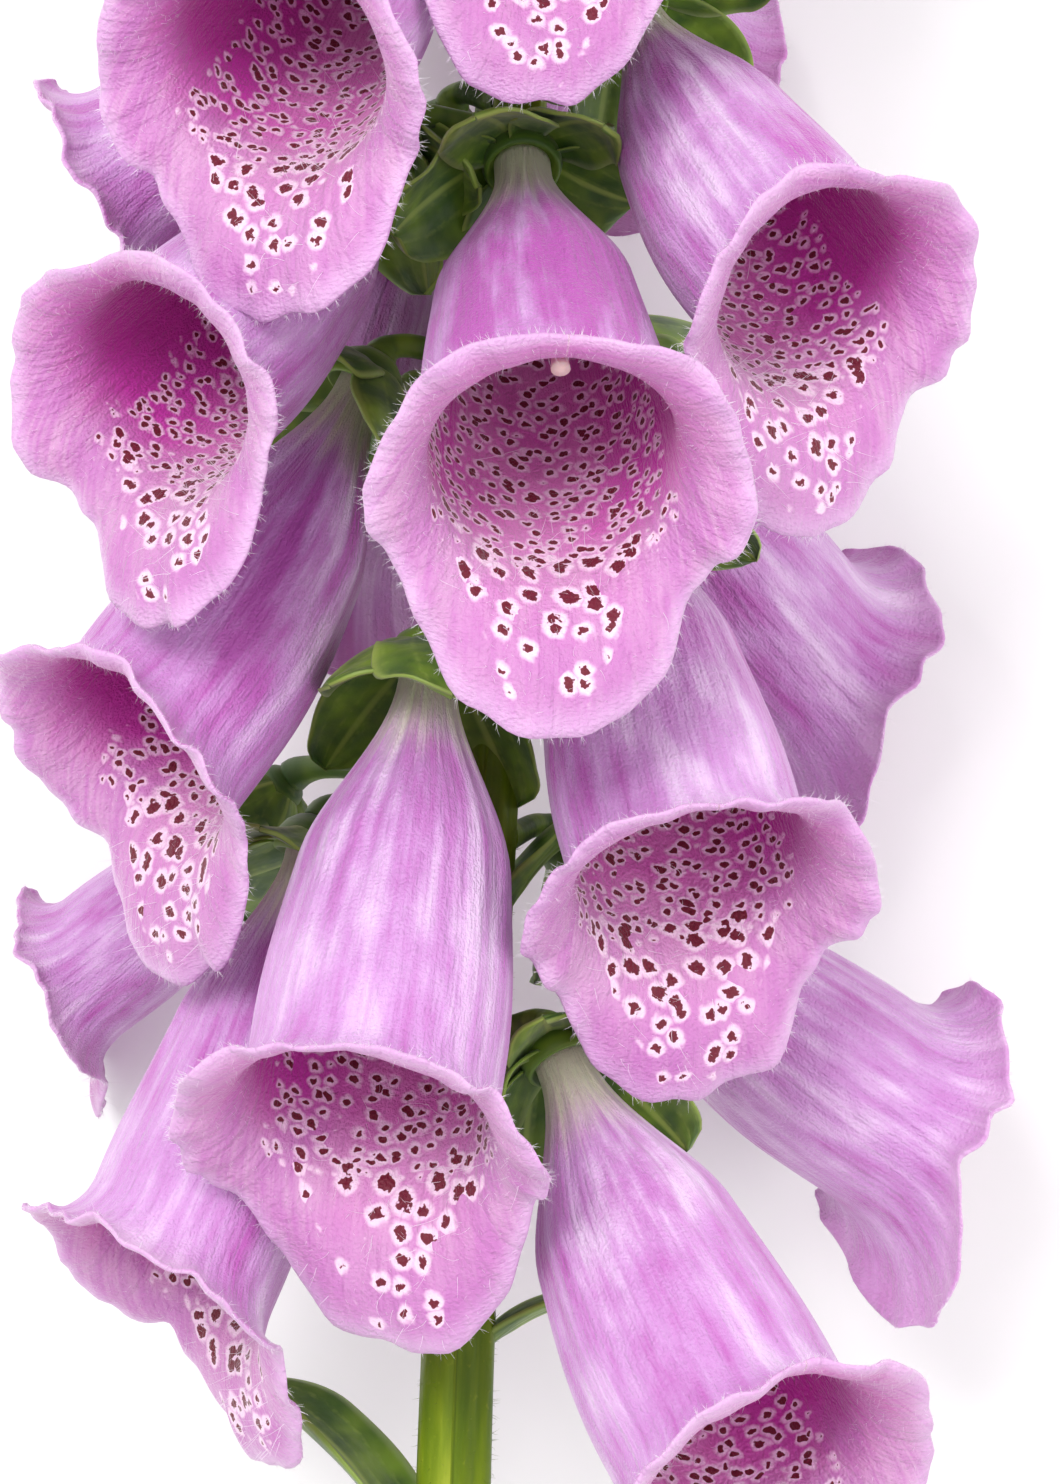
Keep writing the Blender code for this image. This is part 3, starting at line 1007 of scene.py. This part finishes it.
    def build_hairs(self) -> Piece:
        """Make the short fringe of the lip and the long hairs of its floor."""
        rng = np.random.default_rng(self.seed + 500)
        local, _ = self._skin(self.thick / 2.0)
        points = self.pose.put(local)
        inner, _ = self._skin(self.thick)
        floor = self.pose.put(inner)
        normal = unit(np.cross(np.gradient(floor, axis=0), np.roll(floor, -1, 1) - np.roll(floor, 1, 1)))
        centre = floor.mean(1, keepdims=True)
        normal = normal * np.sign(np.sum(normal * (centre - floor), -1, keepdims=True) + 1e-9)
        skin = Skin("along")
        column = rng.integers(0, self.sides, self.rim_hairs)
        push = unit(points[-1] - points[-3])[column]
        sway = rng.normal(0.0, 0.35, (self.rim_hairs, 3))
        length = rng.uniform(0.4, 1.0, self.rim_hairs)
        add_hairs(skin, rng, points[-1][column], unit(push + sway), length, 0.02)
        axis = self.pose.frame()[0]
        column = rng.integers(0, self.sides, self.lip_hairs)
        row = self.tube_rows + rng.integers(4, self.lip_rows, self.lip_hairs)
        way = unit(normal[row, column] + rng.normal(0.0, 0.5, (self.lip_hairs, 3)))
        add_hairs(skin, rng, floor[row, column], way, rng.uniform(0.3, 0.7, self.lip_hairs), 0.013)
        half = self.sides // 2
        spread = rng.normal(0.0, self.sides * 0.06, self.long_hairs)
        column = (half + np.round(spread).astype(int)) % self.sides
        row = self.tube_rows + rng.integers(-12, self.lip_rows, self.long_hairs)
        way = unit(normal[row, column] + axis * rng.uniform(0.1, 0.9, (self.long_hairs, 1)))
        way = unit(way + rng.normal(0.0, 0.22, way.shape))
        length = rng.uniform(1.2, 3.2, self.long_hairs)
        add_hairs(skin, rng, floor[row, column], way, length, 0.024)
        return skin.build("hairs_" + self.label, [HairFinish().build("hair_" + self.label)])


@dataclass
class Blade:
    """One leaf blade: a sepal, a bract or a small leaf."""

    length: float
    width: float
    start_lean: float
    end_lean: float
    cup: float = 0.16
    thick: float = 0.34
    rows: int = 22
    columns: int = 13

    def grid(self, foot: Array, way: Array, out: Array, rng: Rng) -> Array:
        """Work out the blade's points.

        Args:
            foot: where it grows.
            way: the direction at lean 0.
            out: the direction at lean 90.
            rng: the source of its waves.

        Returns:
            Rows from foot to tip, each once round the blade's section.
        """
        share = np.linspace(0.0, 1.0, self.rows)
        lean = np.radians(self.start_lean + (self.end_lean - self.start_lean) * share)
        heading = np.cos(lean)[:, None] * way + np.sin(lean)[:, None] * out
        steps = heading * (self.length / (self.rows - 1))
        middle = foot + np.concatenate([np.zeros((1, 3)), np.cumsum(steps[:-1], axis=0)])
        across = unit(np.cross(way, out))
        face = np.cross(heading, across)
        shape = (0.10 + share) ** 0.5 * (1.0 - share) ** 0.5
        half = self.width / 2.0 * np.maximum(shape / shape.max(), 0.02)
        v = np.linspace(-1.0, 1.0, self.columns)
        ripple = 0.045 * self.width * waves(rng, v[None] * 2.0, share[:, None] * 4.0, (1, 2))
        rise = self.cup * self.width * smooth((1.0 - share) * 3.0)[:, None] + ripple
        groove = 0.22 * np.exp(-((v / 0.12) ** 2))[None] * smooth(share * 5.0)[:, None]
        bulge = rise * v[None] ** 2 - groove
        sheet = middle[:, None] + across * (half[:, None] * v[None])[..., None]
        top = sheet + face[:, None] * (bulge + self.thick / 2.0)[..., None]
        low = sheet + face[:, None] * (bulge - self.thick / 2.0)[..., None]
        return np.concatenate([top, low[:, ::-1]], axis=1)

    def add(self, skin: Skin, grid: Array, kind: int = 0) -> None:
        """Add the blade to a mesh.

        Args:
            skin: the mesh it joins.
            grid: its points.
            kind: the material's number.
        """
        along = np.linspace(0.0, self.length, self.rows)
        along = np.concatenate([along[:1], along, along[-1:]])[:, None]
        v = np.linspace(-1.0, 1.0, self.columns)
        across = np.concatenate([v, v[::-1]])[None]
        skin.add_grid(closed_ends(grid), {"along": along, "across": across}, kind)


@dataclass
class Crowd:
    """All the bells, so that leaves can keep out of them."""

    bells: list[tuple[Pose, float]] = field(default_factory=list)

    def reached(self, points: Array) -> int:
        """Count the points that lie inside a bell or close to it.

        Args:
            points: places from the stem's own line.

        Returns:
            How many do.
        """
        flat = points.reshape(-1, 3)
        inside = np.zeros(len(flat), dtype=bool)
        for pose, size in self.bells:
            axis = pose.frame()[0]
            offset = flat - pose.neck
            along = offset @ axis
            apart = np.linalg.norm(offset - along[:, None] * axis, axis=1)
            flare = np.clip(along / size - 36.0, 0.0, 20.0) * 0.75
            limit = (Corolla.tube_radius(np.minimum(along / size, 46.0)) + 0.9 + flare) * size
            inside |= (along > 2.0) & (along < 64.0 * size) & (apart < limit)
        return int(inside.sum())

    def best(self, trials: Sequence[tuple[Blade, Array]]) -> tuple[Blade, Array]:
        """The blade and points that reach into bells least; ties go to the first."""
        return min(trials, key=lambda trial: self.reached(trial[1]))


def stalk_path(stem: Stem, neck: Array, axis: Array, seat: float, count: int) -> Array:
    """The stalk's way straight out from the stem, then over into a flower.

    Args:
        stem: the stalk it grows from.
        neck: where the flower starts.
        axis: the way the flower hangs.
        seat: how far behind the neck the stalk ends.
        count: how many points the path has.

    Returns:
        Points from inside the stem's skin to the seat.
    """
    end = neck - axis * seat
    foot = end[1] - 0.3
    middle = stem.point(foot)
    out = unit(np.array([end[0] - middle[0], 0.0, end[2] - middle[2]]))
    start = middle + out * (stem.radius(foot) - 0.4)
    gap = float(np.linalg.norm(end - start))
    pull_out, pull_in = min(3.2, 0.4 * gap), min(3.2, 0.4 * gap)
    return bow(start, start + out * pull_out, end - axis * pull_in, end, count)


@dataclass
class Calyx:
    """The stalk, seat and five sepals behind one bell, and the bract below it."""

    label: str
    pose: Pose
    size: float
    seed: int
    sepal_length: float = 13.5
    sepal_width: float = 11.5
    trials: int = 6

    def build(self, stem: Stem, crowd: Crowd) -> Piece:
        """Make the calyx on its stalk, choosing for each leaf the try that reaches least into the bells.

        Args:
            stem: what it grows from.
            crowd: the bells that the leaves keep out of.

        Returns:
            The piece.
        """
        rng = np.random.default_rng(self.seed + 900)
        skin = Skin("along", "across")
        axis, back, side = self.pose.frame()
        path = stalk_path(stem, self.pose.neck, axis, 2.6 * self.size, 26)
        share = np.linspace(0.0, 1.0, len(path))
        radii = 1.0 + 0.7 * np.exp(-share * 9.0) + 0.5 * smooth((share - 0.75) * 4.0)
        grid = closed_ends(tube_grid(path, radii, 20, back))
        self._dress(skin, grid)
        along = np.array([-2.7, -2.4, -1.6, -0.6, 0.5, 1.2, 1.3, 0.4]) * self.size
        reach = np.array([1.3, 2.1, 3.0, 3.5, 3.55, 3.35, 3.05, 2.8]) * self.size
        seat = self.pose.neck + along[:, None, None] * axis + reach[:, None, None] * rim(back, side, 30)
        self._dress(skin, closed_ends(seat))
        for index in range(SEPALS):
            trials = [self._sepal(index, step, rng) for step in range(self.trials)]
            blade, points = crowd.best(trials)
            blade.add(skin, points)
        trials = [self._bract(stem, step, rng) for step in range(self.trials)]
        blade, points = crowd.best(trials)
        if crowd.reached(points) < points.size // 30:
            blade.add(skin, points)
        finish = LeafFinish(3.3 * self.seed)
        return skin.build("leaves_" + self.label, [finish.build("leaf_" + self.label)])

    def _sepal(self, index: int, step: int, rng: Rng) -> tuple[Blade, Array]:
        """One try at a sepal.

        Args:
            index: which of the five.
            step: which try; each is shorter and flatter than the one before.
            rng: the source of its differences.

        Returns:
            The blade and its points.
        """
        axis, back, side = self.pose.frame()
        turn = math.radians(72.0 * index + 36.0) + rng.normal(0.0, 0.12)
        out = math.cos(turn) * back + math.sin(turn) * side
        foot = self.pose.neck + (out * 2.9 - axis * 0.9) * self.size
        blade = Blade(
            self.sepal_length * self.size * rng.uniform(0.86, 1.1) * (1.0 - 0.075 * step),
            self.sepal_width * self.size * rng.uniform(0.85, 1.1) * (1.0 - 0.05 * step),
            rng.uniform(52.0, 68.0),
            rng.uniform(18.0, 66.0) + 6.0 * step,
        )
        return blade, blade.grid(foot, axis, out, rng)

    def _bract(self, stem: Stem, step: int, rng: Rng) -> tuple[Blade, Array]:
        """One try at the leafy bract beside the stalk's foot.

        Args:
            stem: what it grows from.
            step: which try; each is shorter and further round than the one before.
            rng: the source of its differences.

        Returns:
            The blade and its points.
        """
        y = self.pose.y - 5.0
        middle = stem.point(y)
        turn = math.atan2(self.pose.x - middle[0], self.pose.z - middle[2])
        turn += math.radians(34.0 + 9.0 * step) * (1.0 if (self.seed + step) % 2 else -1.0)
        out = outward(turn)
        foot = middle + out * (stem.radius(y) - 0.3)
        length = rng.uniform(10.0, 15.0) * self.size * (1.0 - 0.07 * step)
        blade = Blade(length, 7.6 * self.size, 25.0, rng.uniform(70.0, 105.0), 0.2, 0.3)
        return blade, blade.grid(foot, TIPWARD, out, rng)

    @staticmethod
    def _dress(skin: Skin, grid: Array) -> None:
        """Add a round grid with a leaf's stored numbers.

        Args:
            skin: the mesh it joins.
            grid: its rows of points.
        """
        rows, columns = grid.shape[:2]
        along = np.linspace(0.0, 12.0, rows)[:, None]
        across = 0.25 + 0.5 * np.abs(np.linspace(-1.0, 1.0, columns))[None]
        skin.add_grid(grid, {"along": along, "across": across})


@dataclass
class Bud:
    """A closed bud in its own small calyx."""

    index: int
    count: int = 13
    start: float = 121.5
    step: float = 3.15
    first_azimuth: float = 170.0

    @property
    def label(self) -> str:
        """The bud's number as two digits."""
        return f"{self.index + 1:02d}"

    def build(self, stem: Stem) -> Piece:
        """Make the bud, its sepals and its stalk.

        Args:
            stem: what it grows from.

        Returns:
            The piece.
        """
        share = self.index / (self.count - 1)
        rng = np.random.default_rng(self.index + 2000)
        azimuth = self.first_azimuth + GOLDEN_ANGLE * self.index
        out = outward(math.radians(azimuth))
        neck = stem.point(self.start + self.step * self.index) + out * (8.4 - 4.0 * share)
        pose = Pose(*neck, azimuth, 52.0 + 34.0 * share)
        length, width = 25.0 - 18.5 * share, 9.4 - 5.6 * share
        axis, back, side = pose.frame()
        skin = Skin("along", "across")
        path = stalk_path(stem, pose.neck, axis, 0.4, 18)
        radii = np.linspace(0.85, 0.95, len(path)) + 0.4 * smooth(np.linspace(-3.0, 1.0, len(path)))
        skin.add_tube(path, radii, 14, back, np.linspace(0, 6, len(path) + 2), 0.5, 1)
        t = np.linspace(0.0, 1.0, 30)
        angle = circle(36)[None]
        fat = np.maximum(width / 2.0 * np.sin(np.pi * t ** 0.72) ** 0.7, 0.25)
        bumps = 1.0 + 0.035 * np.cos(5 * angle) + 0.02 * waves(rng, angle, t[:, None], (2, 3))
        ring = (fat[:, None] * bumps)[..., None] * rim(back, side, 36)
        body = pose.neck + (t * length)[:, None, None] * axis + ring
        stored = {"along": with_ends(t)[:, None], "across": angle / np.pi - 1.0}
        skin.add_grid(closed_ends(body), stored)
        for index in range(SEPALS):
            turn = math.radians(72.0 * index) + rng.normal(0.0, 0.08)
            away = math.cos(turn) * back + math.sin(turn) * side
            reach = length * (0.55 + 0.25 * share)
            blade = Blade(reach, width * 0.72, 50.0, -8.0, 0.22, 0.3, 16, 9)
            blade.add(skin, blade.grid(pose.neck + away * 0.6, axis, away, rng), 1)
        finishes = [
            BudFinish(self.index * 2.0, 0.75 * (1.0 - share) ** 1.5).build("bud_" + self.label),
            LeafFinish(60.0 + self.index).build("bud_leaf_" + self.label),
        ]
        return skin.build("budding_" + self.label, finishes)


@dataclass
class Tip:
    """The crowded, unopened top of the spike."""

    buds: int = 16
    reach: float = 13.8

    def build(self, stem: Stem) -> Piece:
        """Make the tip's tiny buds and the scales between them.

        Args:
            stem: what it grows from.

        Returns:
            The piece.
        """
        rng = np.random.default_rng(77)
        skin = Skin("along", "across")
        top = stem.point(stem.top)
        for index in range(self.buds):
            share = index / (self.buds - 1)
            out = outward(math.radians(GOLDEN_ANGLE * index))
            lean = math.radians(68.0 - 60.0 * share)
            way = math.cos(lean) * TIPWARD + math.sin(lean) * out
            height = -2.0 + share * self.reach * 0.72
            foot = top + TIPWARD * height + out * 0.7 * (1.0 - share)
            self._add_bead(skin, foot, way, 3.4 - 1.6 * share, 1.25 - 0.55 * share)
            length, width = 4.4 - 2.0 * share, 1.7 - 0.6 * share
            blade = Blade(length, width, 70.0 - 55.0 * share, 15.0, 0.2, 0.22, 9, 7)
            blade.add(skin, blade.grid(foot - TIPWARD * 0.8, TIPWARD, out, rng), 1)
        path = top + TIPWARD * np.linspace(-0.2, self.reach * 0.7, 10)[:, None]
        skin.add_tube(path, np.linspace(1.0, 0.4, 10), 14, UPWARD, np.linspace(0, 6, 12), 0.5, 1)
        finishes = [BudFinish(9.0, 0.0).build("tip_bud"), LeafFinish(91.0).build("tip_leaf")]
        return skin.build("tip_buds", finishes)

    @staticmethod
    def _add_bead(skin: Skin, foot: Array, way: Array, length: float, radius: float) -> None:
        """Add one tiny rounded bud.

        Args:
            skin: the mesh it joins.
            foot: where it grows.
            way: the direction it points in.
            length: its length.
            radius: its radius at the middle.
        """
        t = np.linspace(0.02, 0.98, 12)
        path = foot + way * (t * length)[:, None]
        toward = unit(np.cross(way, np.array([0.3, 0.2, 0.9])))
        radii = radius * np.sin(np.pi * t ** 0.8) ** 0.7
        skin.add_tube(path, radii, 14, toward, with_ends(t) * 0.6, np.linspace(-1, 1, 14))


@dataclass
class Bract:
    """A small leaf on the bare lower stem."""

    label: str
    y: float
    azimuth: float
    length: float
    width: float
    lift: float
    bend: float

    def build(self, stem: Stem) -> Piece:
        """Make the leaf.

        Args:
            stem: what it grows from.

        Returns:
            The piece.
        """
        rng = np.random.default_rng(int(self.label) + 300)
        out = outward(math.radians(self.azimuth))
        skin = Skin("along", "across")
        foot = stem.point(self.y) + out * (stem.radius(self.y) - 0.2)
        end_lean = self.lift + self.bend
        blade = Blade(self.length, self.width * 1.15, self.lift, end_lean, 0.18, 0.36, 34, 17)
        blade.add(skin, blade.grid(foot, TIPWARD, out, rng))
        finish = LeafFinish(45.0 + self.azimuth * 0.1, fresh=tint(112, 142, 34))
        return skin.build("leaf_blade_" + self.label, [finish.build("bract_leaf_" + self.label)])


@dataclass
class Pistil:
    """The style, a little thicker at its end, and the paired anthers beside it."""

    pose: Pose
    size: float
    threads: tuple[tuple[float, float, float], ...] = (
        (0.0, 0.62, 1.03),
        (-1.3, 0.26, 0.95),
        (1.3, 0.26, 0.95),
        (-1.9, 0.26, 0.84),
        (1.9, 0.26, 0.84),
    )

    def build(self) -> Piece:
        """Make the pistil and anthers, which lie along the bell's back wall."""
        skin = Skin("along", "across")
        along = np.array([3.0, 8.0, 16.0, 24.0, 31.0, 34.0])
        rise = np.array([0.0, 1.2, 3.6, 5.2, 5.8, 5.6])
        steps = np.linspace(0, 5, 40)
        for sway, thick, reach in self.threads:
            local = np.stack(
                [
                    np.interp(steps, range(6), along) * reach,
                    np.interp(steps, range(6), rise) + abs(sway) * 0.1,
                    sway * smooth(steps / 2.5),
                ],
                axis=-1,
            )
            path = self.pose.put(local * self.size)
            share = np.linspace(0.0, 1.0, 40)
            radii = thick * (1.0 + 0.25 * smooth((share - 0.9) * 10.0))
            across = np.linspace(-1, 1, 12)
            skin.add_tube(path, radii, 12, self.pose.frame()[2], with_ends(share) * 0.9, across)
            if sway:
                self._anther(skin, path[-1], sway)
        return skin.build("style_05", [AntherFinish(2.0).build("style_cream")])

    def _anther(self, skin: Skin, end: Array, sway: float) -> None:
        """Add one bean-shaped anther across a thread's end.

        Args:
            skin: the mesh it joins.
            end: the thread's end.
            sway: how far aside the thread lies.
        """
        axis, back, side = self.pose.frame()
        t = np.linspace(0.03, 0.97, 14)
        arch = back * (0.3 * np.sin(np.pi * t))[:, None]
        path = end + side * ((t - 0.5) * 2.3 * np.sign(sway))[:, None] + arch
        radii = 0.62 * np.sin(np.pi * t) ** 0.6
        skin.add_tube(path, radii, 12, axis, 1.1, np.linspace(-1, 1, 12))


# ---- the setting


@dataclass
class Studio:
    """Floor, light and camera."""

    floor_size: float = 4.0
    distance: float = 0.42
    view_height: float = 0.12367
    sensor: float = 36.0
    centre: tuple[float, float] = (0.00253, -0.03367)

    def build(self) -> None:
        """Lay the floor, hang the lights and set the camera."""
        self._floor()
        self._sky()
        self._light("key", (-0.35, 0.45, 1.0), 0.45, 8.0)
        self._light("fill", (0.8, -0.1, 0.9), 0.9, 4.0)
        self._camera()

    def _floor(self) -> None:
        """A plain pale sheet under the flower."""
        half = self.floor_size / 2.0
        mesh = bpy.data.meshes.new("floor")
        corners = [(-half, -half, 0.0), (half, -half, 0.0), (half, half, 0.0), (-half, half, 0.0)]
        mesh.from_pydata(corners, [], [(0, 1, 2, 3)])
        mesh.materials.append(FloorFinish().build("floor_card"))
        show("floor", mesh)

    @staticmethod
    def _sky() -> None:
        """Even white light from all round."""
        world = bpy.data.worlds.new("studio")
        world.use_nodes = True
        shade = world.node_tree.nodes["Background"]
        shade.inputs["Color"].default_value = (1.0, 1.0, 1.0, 1.0)
        shade.inputs["Strength"].default_value = 0.90
        bpy.context.scene.world = world
        bpy.context.scene.view_settings.view_transform = "Standard"

    @staticmethod
    def _light(name: str, where: tuple[float, float, float], size: float, power: float) -> None:
        """Hang one square lamp that faces the flower.

        Args:
            name: what the lamp is called.
            where: its place in metres.
            size: its side in metres.
            power: its power in watts.
        """
        lamp = bpy.data.lights.new(name, "AREA")
        lamp.size = size
        lamp.energy = power
        holder = show(name, lamp)
        holder.location = where
        aim = show(name + "_aim", None)
        aim.location = (0.0, -0.02, 0.04)
        track = holder.constraints.new("TRACK_TO")
        track.target = aim
        track.track_axis, track.up_axis = "TRACK_NEGATIVE_Z", "UP_Y"

    def _camera(self) -> None:
        """Look straight down on the flower, with the spike's tip at the top."""
        data = bpy.data.cameras.new("camera")
        data.sensor_width = self.sensor
        data.lens = self.sensor * self.distance / self.view_height
        data.clip_start, data.clip_end = 0.01, 10.0
        camera = show("camera", data)
        camera.location = (*self.centre, self.distance + SHIFT[2] * MM)
        bpy.context.scene.camera = camera


# ---- the whole lot


# Label, neck x, y, z, azimuth, droop, roll, size, seed, depth of colour.
FLOWERS = (
    ("01", -4.0, 77.0, 7.5, -26, 48, 3, 0.90, 1, 0.55),
    ("02", 3.8, 89.8, 9.2, 5, 45, -6, 0.80, 2, 0.6),
    ("03", 12.5, 61.0, 4.0, 35, 45, -4, 0.88, 3, 0.42),
    ("04", -8.0, 50.0, 3.0, -38, 52, 8, 0.87, 4, 0.5),
    ("05", 3.5, 47.3, 9.0, 6, 46, -2, 0.93, 5, 0.75),
    ("06", -9.5, 30.0, 2.0, -56, 36, -2, 0.91, 6, 0.62),
    ("07", -4.0, 6.7, 9.0, -18, 24, 3, 0.97, 7, 0.28),
    ("08", 10.0, 22.0, 4.0, 25, 28, 12, 0.91, 8, 0.42),
    ("09", 8.0, 33.0, -6.0, 128, 45, -14, 0.86, 9, 0.42),
    ("10", 8.0, -9.0, -6.0, 105, 52, -22, 0.88, 10, 0.36),
    ("11", -14.0, -8.6, 0.0, -62, 21, 0, 0.90, 11, 0.35),
    ("12", -17.5, -4.0, -16.05, -112, 50, -40, 0.62, 12, 0.3),
    ("13", -8.0, 69.5, -6.0, -92, 46, 8, 0.76, 13, 0.5),
    ("14", -3.0, 99.0, -2.0, -80, 46, 10, 0.72, 14, 0.5),
    ("15", 6.6, -25.6, 4.9, 39, 38, 7, 0.97, 15, 0.42),
    ("16", -3.0, 52.0, -7.4, -150, 31.4, 8, 0.84, 20, 0.45),
    ("17", 5.0, 86.0, -6.8, 150, 38.2, 0, 0.78, 18, 0.5),
    ("18", 8.5, 101.0, 4.0, 70, 48, 0, 0.74, 16, 0.55),
    ("19", -3.0, 113.2, 7.0, -20, 50, 0, 0.66, 17, 0.6),
    ("20", 6.0, 121.0, 5.0, 45, 50, 0, 0.58, 19, 0.55),
)

# Label, place along the stem, azimuth, length, width, lift, bend.
BRACTS = (
    ("01", -72.0, -112, 26.0, 9.0, 14, 62),
    ("02", -50.0, 92, 11.0, 4.2, 48, 45),
)


class Part(Enum):
    """The kinds of node that pieces stand for."""

    COROLLA = "corolla"
    CALYX = "calyx"
    BUD = "bud"
    BRACT = "bract"


def settle(piece: Piece, node: str, stands_for: bool = True) -> None:
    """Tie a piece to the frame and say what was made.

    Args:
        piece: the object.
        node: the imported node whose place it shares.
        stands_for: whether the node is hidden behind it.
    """
    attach(piece, BODY)
    if stands_for:
        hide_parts(node)
    size = [round(side / MM, 1) for side in piece.dimensions]
    LOG.info("%s over %s, %s mm", piece.name, node, size)


def main() -> None:
    """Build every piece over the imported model."""
    logging.basicConfig(level=logging.INFO, format="%(message)s")
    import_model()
    stem = Stem()
    settle(stem.build(), "stem")
    crowd = Crowd([(Pose(*row[1:7]), row[7]) for row in FLOWERS])
    for label, x, y, z, azimuth, droop, roll, size, seed, depth in FLOWERS:
        pose = Pose(x, y, z, azimuth, droop, roll)
        corolla = Corolla(label, pose, size, seed, depth)
        node = f"{Part.COROLLA.value}_{label}"
        settle(corolla.build(), node)
        settle(corolla.build_hairs(), node, False)
        settle(Calyx(label, pose, size, seed).build(stem, crowd), f"{Part.CALYX.value}_{label}")
        if label == "05":
            settle(Pistil(pose, size).build(), "pistil_05")
    for index in range(Bud.count):
        bud = Bud(index)
        settle(bud.build(stem), f"{Part.BUD.value}_{bud.label}")
    for row in BRACTS:
        settle(Bract(*row).build(stem), f"{Part.BRACT.value}_{row[0]}")
    settle(Tip().build(stem), "tip")
    Studio().build()


if __name__ == "__main__":
    main()
